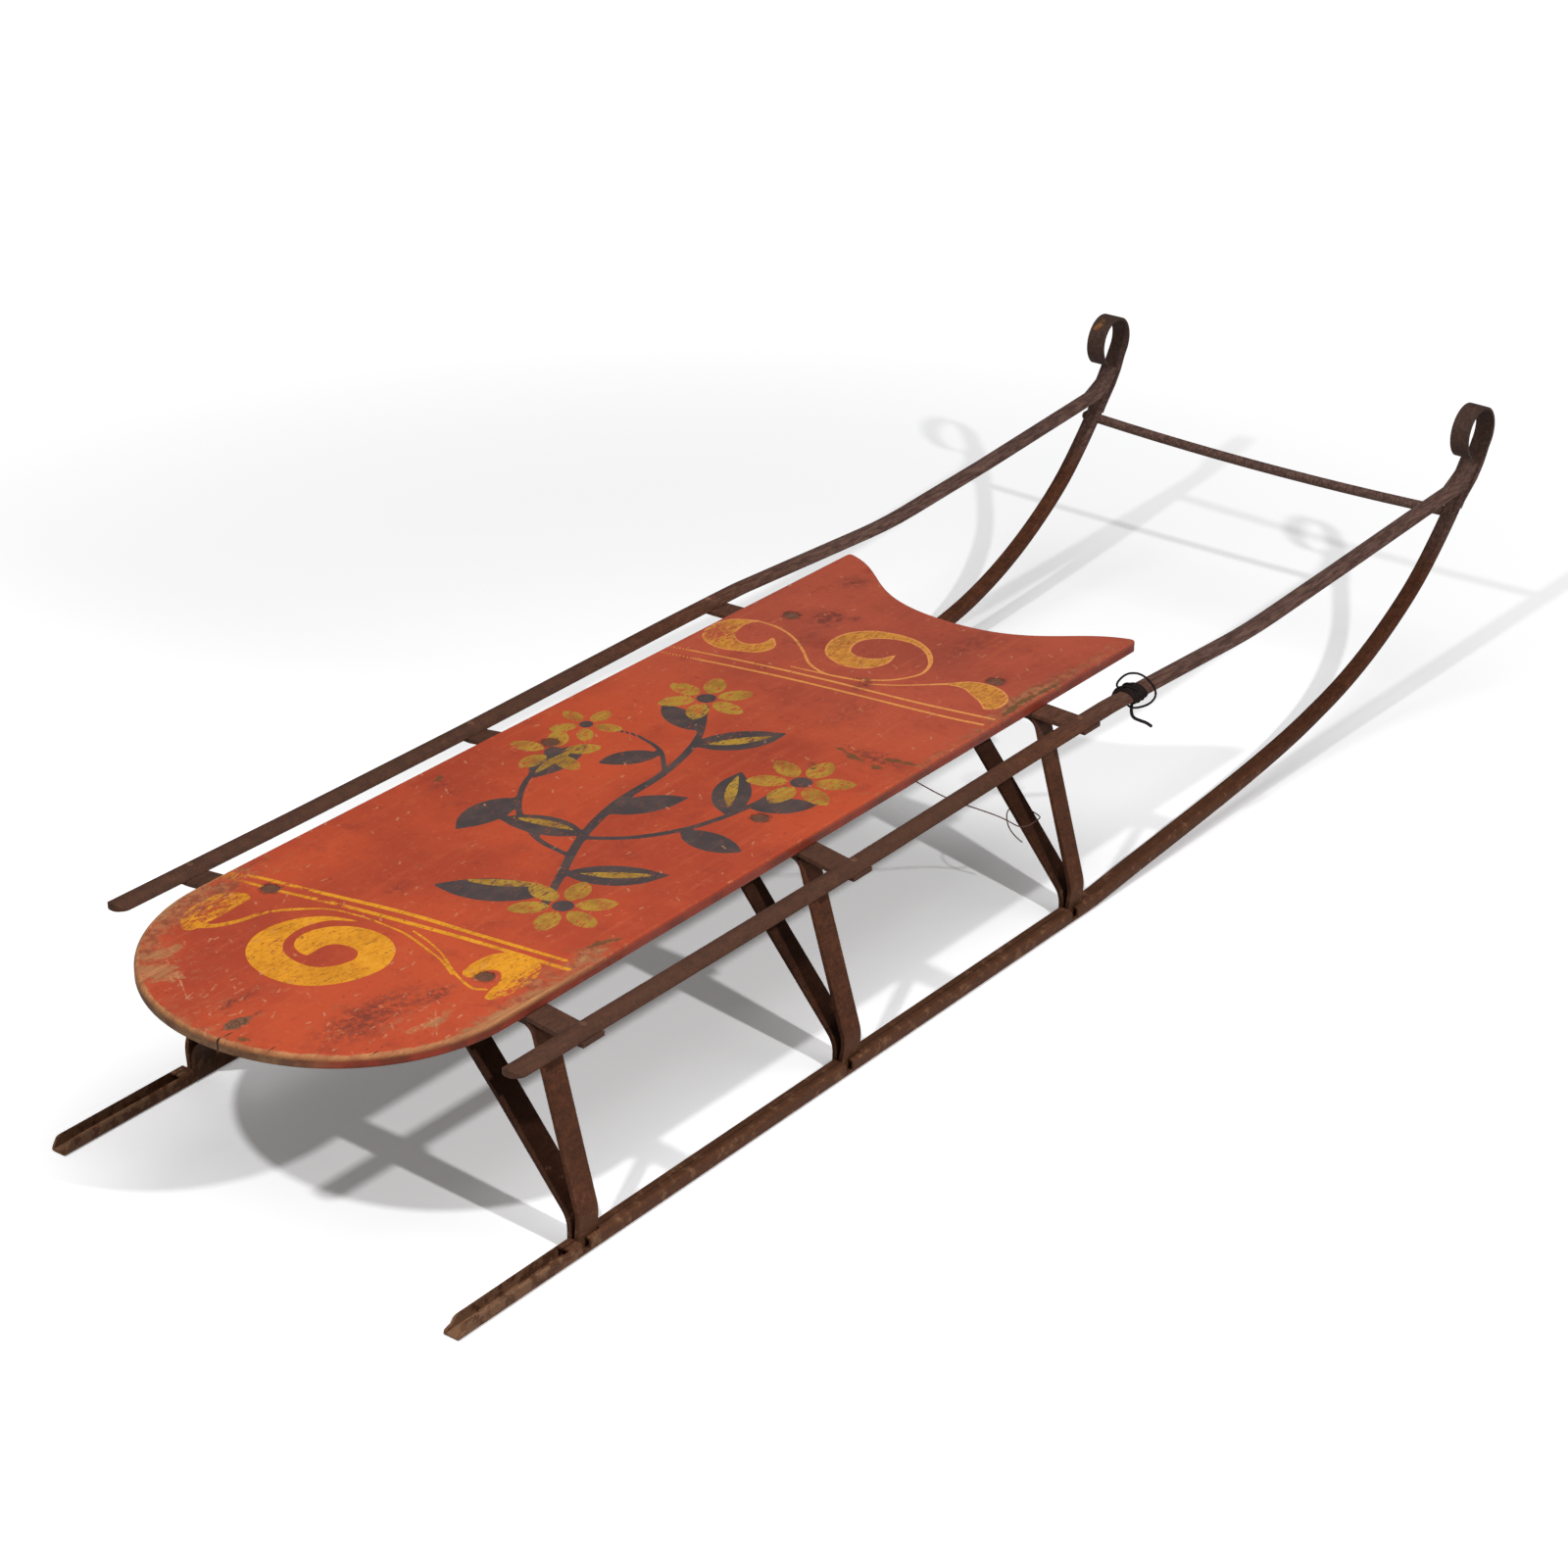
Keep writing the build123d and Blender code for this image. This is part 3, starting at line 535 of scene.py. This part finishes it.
def paint_material():
    """Old paint on wood: distances in mm from the strokes, and amounts of wear, come from the attributes."""
    mat, n = new_material("deck_paint_old")
    at = n("ShaderNodeTexCoord", 3)
    grain_at = n.stretch(at, (1.0, 14.0, 14.0))
    grain = n.noise(grain_at, 14, 6, 0.6)
    fine_grain = n.noise(grain_at, 60, 4, 0.6)
    patch = n.noise(at, 7, 4, 0.6)
    mottle = n.noise(at, 40, 5, 0.65)
    speck = n.noise(at, 260, 4, 0.7)
    rough_edge = n.noise(at, 420, 3, 0.6)
    flakes = n.noise(n.stretch(at, (1, 3.0, 1)), 190, 6, 0.75)
    gold, dark, mustard = n.attr("gold"), n.attr("dark"), n.attr("mustard")
    rim, side, under = n.attr("rim"), n.attr("side"), n.attr("under")
    chip, bare, smudge_and_shade, scuff = n.attr("chip"), n.attr("bare"), n.attr("smudge_and_shade"), n.attr("scuff")
    knot, crack = n.attr("knot"), n.attr("crack")
    x, y = n.axis(at, 0), n.axis(at, 1)

    # red paint, rosier to the front, thinner where the grain stands up
    red = n.mix(n.step(patch, 0.36, 0.64), (0.54, 0.080, 0.028), (0.40, 0.056, 0.025))
    ahead = n.step(x, -0.18, 0.06)
    red = n.lay(ahead, 0.75, red, n.mix(n.step(patch, 0.36, 0.64), (0.45, 0.092, 0.055), (0.33, 0.068, 0.042)))
    red = n.lay(n.step(grain, 0.52, 0.72), 0.30, red, (0.58, 0.12, 0.050))
    red = n.lay(n.step(mottle, 0.54, 0.74), 0.50, red, (0.28, 0.040, 0.022))
    red = n.lay(n.step(mottle, 0.44, 0.28), 0.30, red, (0.57, 0.12, 0.045))
    red = n.lay(n.step(speck, 0.60, 0.70), 0.40, red, (0.60, 0.19, 0.10))
    red = n.lay(n.step(speck, 0.40, 0.28), 0.55, red, (0.19, 0.032, 0.020))

    # brown dirt and thin paint towards the rims
    grime = n.step(n.add(n.attr("grime"), n.mul_add(n.noise(at, 100, 7, 0.8), 3.0, -1.5)), 0.15, 0.95)
    grime_colour = n.mix(n.step(n.noise(at, 150, 5, 0.75), 0.40, 0.60),
                         (0.20, 0.075, 0.036), (0.42, 0.19, 0.085))
    red = n.lay(grime, 0.72, red, grime_colour)

    def mask(dist, lack):
        """Where a stroke's paint is left: its edge wavers and it flakes where it is chipped."""
        wobble = 0.4
        d = n.add(dist, n.spread(rough_edge, wobble))
        d = n.add(d, n.spread(mottle, wobble * 2))
        body = n.step(d, 0.18, -0.18)
        gone = n.step(n.mul_add(lack, 0.24, flakes), 0.59, 0.66)
        return n.mul(body, n.sub(1.0, gone))

    ridge = n.noise(n.stretch(at, (1, 2.5, 1)), 210, 5, 0.7)
    gold_colour = n.mix(n.step(mottle, 0.36, 0.66), (0.80, 0.33, 0.018), (0.62, 0.235, 0.014))
    gold_colour = n.lay(n.step(ridge, 0.53, 0.63), 0.6, gold_colour, (0.42, 0.14, 0.016))
    gold_colour = n.lay(n.step(ridge, 0.45, 0.36), 0.5, gold_colour, (0.80, 0.40, 0.06))
    gold_colour = n.lay(ahead, 0.62, gold_colour,
                        n.mix(n.step(ridge, 0.44, 0.58), (0.62, 0.27, 0.062), (0.43, 0.165, 0.045)))
    thin = n.mul(ahead, n.step(gold, -1.9, -1.1))
    gold_colour = n.lay(thin, 0.75, gold_colour, (0.84, 0.33, 0.10))
    gold_colour = n.lay(n.step(speck, 0.60, 0.68), 0.8, gold_colour, (0.16, 0.06, 0.018))
    # fine dark cracks in it, a little aslant
    hair = n.noise(n.stretch(n("ShaderNodeMapping", i0=at, i2=(0, 0, 0.12)), (1, 20, 1)), 34, 3, 0.6)
    hair = n.mul(n.step(hair, 0.655, 0.675), n.step(mottle, 0.46, 0.54))
    gold_colour = n.lay(hair, 0.8, gold_colour, (0.10, 0.040, 0.015))
    dark_colour = n.mix(n.step(mottle, 0.4, 0.65), (0.066, 0.050, 0.050), (0.095, 0.066, 0.060))
    mustard_colour = n.mix(n.step(mottle, 0.4, 0.65), (0.46, 0.265, 0.036), (0.32, 0.155, 0.026))
    col = n.mix(mask(gold, chip), red, gold_colour)
    col = n.mix(mask(dark, n.mul(scuff, 0.2)), col, dark_colour)
    col = n.mix(mask(mustard, n.mul_add(scuff, 0.2, 0.3)), col, mustard_colour)

    # dirt rubbed in, and painted shade in and round the bolt seats
    rubbed_in = n.mul(smudge_and_shade, n.step(n.noise(at, 210, 6, 0.8), 0.36, 0.60))
    col = n.lay(n.step(rubbed_in, 0.0, 0.75), 0.75, col, (0.13, 0.036, 0.026))
    # bare wood at the rim and where the paint is rubbed off
    wood = n.mix(n.step(grain, 0.35, 0.65), (0.52, 0.25, 0.10), (0.35, 0.155, 0.066))
    wood = n.lay(n.step(fine_grain, 0.5, 0.7), 0.6, wood, (0.20, 0.085, 0.040))
    rear = n.step(x, -0.40, -0.56)
    rim_wear = n.mul(n.step(rim, 3.6, 0.2), n.mul_add(rear, 0.44, 0.20))
    rim_wear = n.add(rim_wear, n.mul(n.step(rim, 9.0, 1.5), n.mul(rear, 0.16)))
    wear = n.add(rim_wear, n.mul(bare, 0.56))
    wear = n.add(wear, n.spread(n.noise(at, 110, 6, 0.72), 1.3))
    wear = n.add(wear, n.spread(n.noise(at, 38, 3, 0.6), 0.9))
    worn = n.step(wear, 0.36, 0.56)
    col = n.lay(worn, 0.82, col, wood)
    # a thin rub all over the worn places, where the red shows through
    rub = n.noise(n.stretch(at, (1.0, 2.0, 1)), 65, 6, 0.75)
    rub = n.step(n.mul_add(scuff, 0.13, rub), 0.64, 0.78)
    col = n.lay(rub, 0.45, col, (0.43, 0.15, 0.075))
    # short pale nicks, each with its own turn
    for scale, length, width, turn, spread, rare in ((52, 0.26, 0.050, -1.25, 1.3, 0.50),
                                                     (95, 0.26, 0.090, -1.25, 1.6, 0.42),
                                                     (20, 0.36, 0.014, -1.1, 1.0, 0.72)):
        cell = n.tree.nodes.new("ShaderNodeTexVoronoi")
        cell.voronoi_dimensions = "2D"
        n.put(cell.inputs["Vector"], at)
        n.put(cell.inputs["Scale"], scale)
        chance = n("ShaderNodeSeparateColor", 0, i0=cell.outputs["Color"])
        luck = n("ShaderNodeSeparateColor", 1, i0=cell.outputs["Color"])
        off = n.vector("SUBTRACT", at, cell.outputs["Position"])
        angle = n.mul_add(chance, spread, turn)
        spun = n("ShaderNodeVectorRotate", 0, props={"rotation_type": "Z_AXIS"}, Vector=off, Angle=angle)
        u = n.mul(n.math("ABSOLUTE", n.axis(spun, 0)), scale)
        v = n.mul(n.math("ABSOLUTE", n.axis(spun, 1)), scale)
        v = n.add(v, n.spread(rough_edge, width * 2.2))
        nick = n.mul(n.step(v, width, width * 0.4), n.step(u, length, length * 0.7))
        picked = n.step(n.mul_add(scuff, 0.5, luck), rare + 0.48, rare + 0.52)
        nick = n.mul(n.mul(nick, picked), n.step(speck, 0.60, 0.42))
        col = n.lay(nick, 0.68, col, (0.58, 0.26, 0.14))
    # a knot in the board, with its ring
    knot_d = n.mul_add(n.sub(n.noise(at, 130, 5, 0.75), 0.5), 1.7, knot)
    knot_in = n.step(knot_d, 1.10, 0.85)
    knot_col = n.mix(n.step(n.math("PINGPONG", knot_d, 0.17), 0.03, 0.13),
                     (0.060, 0.040, 0.026), (0.165, 0.105, 0.060))
    col = n.lay(knot_in, 0.88, col, knot_col)
    stained = n.add(n.attr("stain"), n.mul_add(flakes, 5.0, -2.5))
    stained = n.add(stained, n.mul_add(n.noise(at, 130, 5, 0.75), 14.0, -6.6))
    stained = n.step(stained, 0.5, -0.5)
    col = n.lay(stained, 0.8, col, (0.125, 0.072, 0.026))

    # the edge of the board: red and dirty along the sides, bare weathered wood round the rear
    edge_noise = n.noise(at, 45, 4, 0.6)
    edge_red = n.mix(n.step(edge_noise, 0.4, 0.65), (0.29, 0.046, 0.024), (0.17, 0.036, 0.020))
    edge_wood = n.mix(n.step(edge_noise, 0.38, 0.62), (0.27, 0.145, 0.072), (0.15, 0.070, 0.038))
    streak = n.noise(n.stretch(at, (1, 1, 9)), 90, 4, 0.6)
    edge_wood = n.lay(n.step(streak, 0.5, 0.62), 0.6, edge_wood, (0.085, 0.040, 0.022))
    bare_side = n.mul(n.step(y, -0.092, -0.052), n.step(x, -0.48, -0.56))
    bare_side = n.math("MAXIMUM", bare_side, n.mul(n.step(edge_noise, 0.62, 0.70), 0.4))
    col = n.mix(side, col, n.mix(bare_side, edge_red, edge_wood))
    below = n.mix(n.step(grain, 0.4, 0.65), (0.13, 0.085, 0.055), (0.085, 0.052, 0.034))
    col = n.mix(under, col, below)
    split = n.step(crack, 0.25, -0.15)
    col = n.mix(split, col, (0.020, 0.011, 0.008))

    height = n.add(n.mul(grain, 0.35), n.mul(fine_grain, 0.25))
    height = n.add(height, n.mul(speck, 0.14))
    height = n.sub(height, n.mul(worn, 0.25))
    height = n.sub(height, split)
    bump = n("ShaderNodeBump", Strength=0.4, Distance=0.0007, Height=height)
    rough = n.mul_add(mottle, 0.25, 0.45)
    rough = n.add(rough, n.mul(worn, 0.2))
    n.end("Material", n("ShaderNodeBsdfPrincipled", Base_Color=col, Roughness=rough, Normal=bump,
                        Specular_IOR_Level=0.22))
    return mat


def steel_material(name, warm=0.5, light=1.0):
    """Dark rust, its colours times light, with so much of a warmer brown in broad patches."""
    mat, n = new_material(name)
    at = n("ShaderNodeTexCoord", 3)
    broad = n.noise(at, 11, 4, 0.6)
    mottle = n.noise(at, 120, 5, 0.65)
    pits = n.noise(at, 520, 4, 0.7)
    fleck = n.noise(at, 800, 3, 0.6)
    x, z = n.axis(at, 0), n.axis(at, 2)

    def tone(*colour):
        return tuple(light * c for c in colour)

    col = n.mix(n.step(mottle, 0.35, 0.66), tone(0.080, 0.028, 0.013), tone(0.128, 0.044, 0.021))
    streak = n.noise(n.stretch(at, (1, 7, 7)), 60, 6, 0.75)
    col = n.lay(n.step(streak, 0.50, 0.40), 0.45, col, tone(0.045, 0.019, 0.011))
    col = n.lay(n.step(streak, 0.60, 0.72), 0.50, col, tone(0.20, 0.105, 0.062))
    col = n.mix(n.mul(n.step(broad, 0.42, 0.70), warm), col, tone(0.125, 0.046, 0.021))
    col = n.lay(n.step(pits, 0.46, 0.34), 0.6, col, (0.022, 0.011, 0.007))
    col = n.lay(n.step(pits, 0.55, 0.68), 0.35, col, tone(0.17, 0.085, 0.052))
    # the upswept front is greyer
    col = n.mix(n.mul(n.step(x, -0.05, 0.25), n.step(z, 0.10, 0.14)), col,
                n.mix(n.step(streak, 0.38, 0.66), tone(0.078, 0.042, 0.034), tone(0.185, 0.105, 0.082)))
    # the rails are duller than the legs
    col = n.mix(n.mul(n.step(z, 0.140, 0.147), n.mul(n.step(x, 0.06, -0.12), 0.45)), col,
                tone(0.070, 0.043, 0.034))
    # and the curls darker
    col = n.lay(n.step(z, 0.165, 0.19), 0.6, col, (0.040, 0.024, 0.018))
    # the runners and the feet are rubbed paler; their open rear ends are paler most of all, partly wear and
    # partly a painted highlight that stands for light falling into the trough
    low = n.step(z, 0.055, 0.004)
    col = n.lay(n.step(z, 0.03, 0.015), 0.3, col, (0.16, 0.075, 0.040))
    tail_worn_and_lit = n.mul(n.step(x, -0.44, -0.58), n.step(z, 0.06, 0.04))
    amount = n.mul_add(tail_worn_and_lit, 0.16, n.mul_add(low, 0.13, -0.10))
    rubbed_and_lit = n.step(n.add(mottle, amount), 0.56, 0.70)
    col = n.lay(rubbed_and_lit, 0.62, col, (0.27, 0.145, 0.080))
    col = n.lay(n.step(n.mul_add(amount, 0.5, fleck), 0.70, 0.76), 0.6, col, (0.38, 0.28, 0.20))
    # a tan patch where old paint stays on the far curl
    off = n.vector("DISTANCE", at, (0.5985, 0.1705, 0.2198), 1)
    patch = n.step(n.add(off, n.spread(mottle, 0.02)), 0.0048, 0.0020)
    col = n.lay(patch, 0.75, col, (0.34, 0.135, 0.030))
    # edges rubbed by use
    geo = n("ShaderNodeNewGeometry", 1)
    round_n = n("ShaderNodeBevel", 0, props={"samples": 4}, Radius=0.0009)
    dot = n.vector("DOT_PRODUCT", geo, round_n, 1)
    edge = n.mul(n.step(dot, 0.985, 0.86), n.step(mottle, 0.38, 0.62))
    col = n.lay(edge, 0.45, col, (0.17, 0.085, 0.050))
    height = n.add(n.mul(mottle, 0.5), n.mul(pits, 0.5))
    bump = n("ShaderNodeBump", Strength=0.6, Distance=0.0005, Height=height, Normal=round_n)
    rough = n.mul_add(mottle, 0.3, 0.5)
    n.end("Material", n("ShaderNodeBsdfPrincipled", Base_Color=col, Roughness=rough, Normal=bump, Metallic=0.0,
                        Specular_IOR_Level=0.10))
    return mat


def cord_material(name, dark, pale, scale=900):
    mat, n = new_material(name)
    at = n("ShaderNodeTexCoord", 3)
    fibre = n.noise(n.stretch(at, (1, 1, 2)), scale, 4, 0.6)
    dirt = n.noise(at, 120, 3, 0.6)
    col = n.mix(n.step(fibre, 0.4, 0.62), dark, pale)
    col = n.lay(n.step(dirt, 0.5, 0.7), 0.4, col, tuple(0.5 * c for c in dark))
    bump = n("ShaderNodeBump", Strength=0.6, Distance=0.0003, Height=fibre)
    n.end("Material", n("ShaderNodeBsdfPrincipled", Base_Color=col, Roughness=0.85, Normal=bump,
                        Specular_IOR_Level=0.12))
    return mat


steel = steel_material("steel_rust")
# the braces get a darker steel all over, as painted shade for the shadow that the board and the outer legs cast
# on them
steel_brace_shaded = steel_material("steel_dark", 0.3, 0.55)
steel_bolt = steel_material("bolt_rust", 0.5, 1.7)
for name, ob in nodes.items():
    if name == "deck":
        continue
    mat = steel_bolt if name.startswith("deck_bolts") else steel_brace_shaded if name.startswith("brace") else steel
    for s in ob.material_slots:
        s.material = mat


def open_curls():
    """The straps of the curls, narrower and thinner than the solids, so that light shows through the eyes."""
    # the change starts at this place in mm from the middle and this height, and is full after the rise
    x_from, z_from, rise = 580, 160, 26
    narrower, thickness, r_in = 0.20, 0.78, 10
    for name, side, z_eye, r_out in (("runner_left", 1, 203.3, 21.3), ("runner_right", -1, 204.3, 21.8)):
        node = nodes[name]
        me = node.data.copy()
        ob = new_object(name + "_strap", me)
        ob.matrix_world = node.matrix_world
        to_world, to_local = node.matrix_world.copy(), node.matrix_world.inverted()
        middle = side * curl_y
        for vert in me.vertices:
            p = to_world @ vert.co / MM
            if p.z < z_from or p.x < x_from:
                continue
            t = min(1.0, (p.z - z_from) / rise)
            t = t * t * (3 - 2 * t)
            p.y = middle + (p.y - middle) * (1 - narrower * t)
            across, height = p.x - curl_x, p.z - z_eye
            r = math.hypot(across, height)
            if r_in < r < r_out:
                grow = (r_out - thickness * (r_out - r)) / r
                p.x, p.z = curl_x + across * grow, z_eye + height * grow
            vert.co = to_local @ (p * MM)
        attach(ob, "root")
        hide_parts(name)


open_curls()

deck = board()
deck.data.materials.clear()
deck.data.materials.append(paint_material())
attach(deck, "root")
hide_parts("deck")

# ---- cords and the binding


def route(name, points, d, mat, parts_along=12, parts_round=4):
    """A cord's NURBS line through its route points (mm, stations), with a round section."""
    cu = bpy.data.curves.new(name, "CURVE")
    cu.dimensions = "3D"
    sp = cu.splines.new("NURBS")
    sp.points.add(len(points) - 1)
    for p, q in zip(sp.points, row(points)):
        p.co = (*q, 1)
    sp.order_u = 3
    sp.use_endpoint_u = True
    sp.resolution_u = parts_along
    cu.bevel_depth = d / 2 * MM
    cu.bevel_resolution = parts_round
    cu.use_fill_caps = True
    cu.materials.append(mat)
    ob = new_object(name, cu)
    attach(ob, "root")
    return ob


cord_black = cord_material("cord_black", (0.009, 0.006, 0.006), (0.028, 0.019, 0.017))
wire_rust = cord_material("wire_rust", (0.10, 0.045, 0.035), (0.20, 0.10, 0.08), 1500)
# the underside of the binding's sleeve
bind_low = bind_z - 1.7 - 0.8
cords = [
    ("cord_loops", "binding_cord",
     [(713.0, -159.0, 159.6), (708.0, -160.5, 163.6), (714.5, -161.5, 167.6), (723.5, -162.0, 167.4),
      (733.5, -165.0, 164.0), (737.0, -171.5, 158.5), (737.5, -177.0, 150.5), (737.0, -173.0, 142.0),
      (731.0, -166.0, 138.5), (723.0, -163.0, 141.0), (719.0, -162.5, bind_low - 0.3)],
     1.6, 83.9, "limp", "object", cord_black, "old_cord"),
    ("cord_tail", "binding_tail",
     [(721.5, -166.5, bind_low - 0.2), (723.0, -165.0, 139.0), (729.0, -163.5, 131.0), (740.0, -163.0, 124.5),
      (749.0, -163.5, 119.5), (755.5, -163.0, 114.5)],
     2.4, 49.5, "limp", "bare", cord_black, "old_cord"),
    ("wire_loose", "hanging_wire",
     [(518, -118, deck_bot - 0.3), (545, -120, 131), (574, -119, 111.5), (603, -120.5, 94.5), (630, -123, 78),
      (646, -129, 64.5), (663, -131, 66.5), (677, -124, 61), (676.5, -112, 64), (662, -109, 70.5),
      (647.5, -113, 71.5), (643.5, -120, 60), (651, -126, 51.5)],
     0.9, 253, "stiff", "bare", wire_rust, "rusty_steel"),
]
for name, node, pts, d, length, stiff, far, mat, slot_name in cords:
    ob = route(name, pts, d, mat)
    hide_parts(node)
    tuple(row(pts)[0])


def binding():
    """Turns of cord wound round the rail."""
    x0, x1, d = 714.5, 732.5, 1.75
    pitch = d * 1.06
    yc = -(rail_y + 1.14)
    w, h = rail_w / 2 + d / 2, rail_h + d / 2
    # the ring that one turn follows: half an ellipse over the rail and a nearly flat underside
    ring = [(yc + w * math.cos(a), bind_z + h * math.sin(a) + 0.3) for a in np.linspace(0, math.pi, 13)]
    ring += [(yc - w + 1.2, bind_z - 1.1), (yc - w / 2, bind_z - 1.5), (yc, bind_z - 1.6),
             (yc + w / 2, bind_z - 1.5), (yc + w - 1.2, bind_z - 1.1)]
    turns = int((x1 - x0) / pitch)
    # the turns aren't quite even: how far their points stray along and across the rail
    rng = np.random.default_rng(5)
    stray_along, stray = 0.25, 0.08
    pts = []
    for t in range(turns):
        shift = rng.normal(0, stray_along, len(ring))
        for k, (y, z) in enumerate(ring):
            x = x0 + d / 2 + (t + k / len(ring)) * pitch + shift[k]
            pts.append((x, y + rng.normal(0, stray), z + rng.normal(0, stray)))
    # two turns laid slantwise across the others, a little outside them
    wider, higher, reach = 1.1, 1.22, 6.4
    for s in (-1, 1):
        for k, (y, z) in enumerate(ring):
            pts.append(((x0 + x1) / 2 + s * reach * (1 - 2 * k / len(ring)), yc + (y - yc) * wider,
                        bind_z + (z - bind_z) * higher))
    ob = route("cord_binding", pts, d, cord_black, 3, 2)
    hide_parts("binding")


binding()


def rivets():
    """Low rivet heads where the rails are fixed to the crossbars."""
    verts, faces = [], []
    heads = [(126.5, 0.0, 154.35), (395.0, 0.6, 153.75), (659.5, 1.1, 156.6)]
    rings, around, radius, height, sunk = 4, 18, 2.9, 0.75, 0.25
    for side in (1, -1):
        for x, dy, z in heads:
            y = side * (rail_y + dy)
            b = len(verts)
            for i in range(rings):
                a = math.pi / 2 * i / rings
                for k in range(around):
                    t = 2 * math.pi * k / around
                    u, v = radius * math.cos(a) * math.cos(t), radius * math.cos(a) * math.sin(t)
                    # the head sits on the rail's round back
                    drop = rail_h * (1 - math.sqrt(1 - (v / (rail_w / 2)) ** 2))
                    verts.append((x + u, y + v, z - sunk - drop * math.cos(a) + (height + sunk) * math.sin(a)))
            verts.append((x, y, z + height))
            for i in range(rings - 1):
                for k in range(around):
                    p, q = b + i * around + k, b + i * around + (k + 1) % around
                    faces.append((p, q, q + around, p + around))
            top = b + rings * around
            faces += [(top - around + k, top - around + (k + 1) % around, top) for k in range(around)]
            faces.append(tuple(range(b + around - 1, b - 1, -1)))
    me = bpy.data.meshes.new("rail_rivets")
    me.from_pydata(row(verts).tolist(), [], faces)
    for p in me.polygons:
        p.use_smooth = len(p.vertices) < 5
    me.materials.append(steel_bolt)
    ob = new_object("rail_rivets", me)
    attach(ob, "root")


rivets()
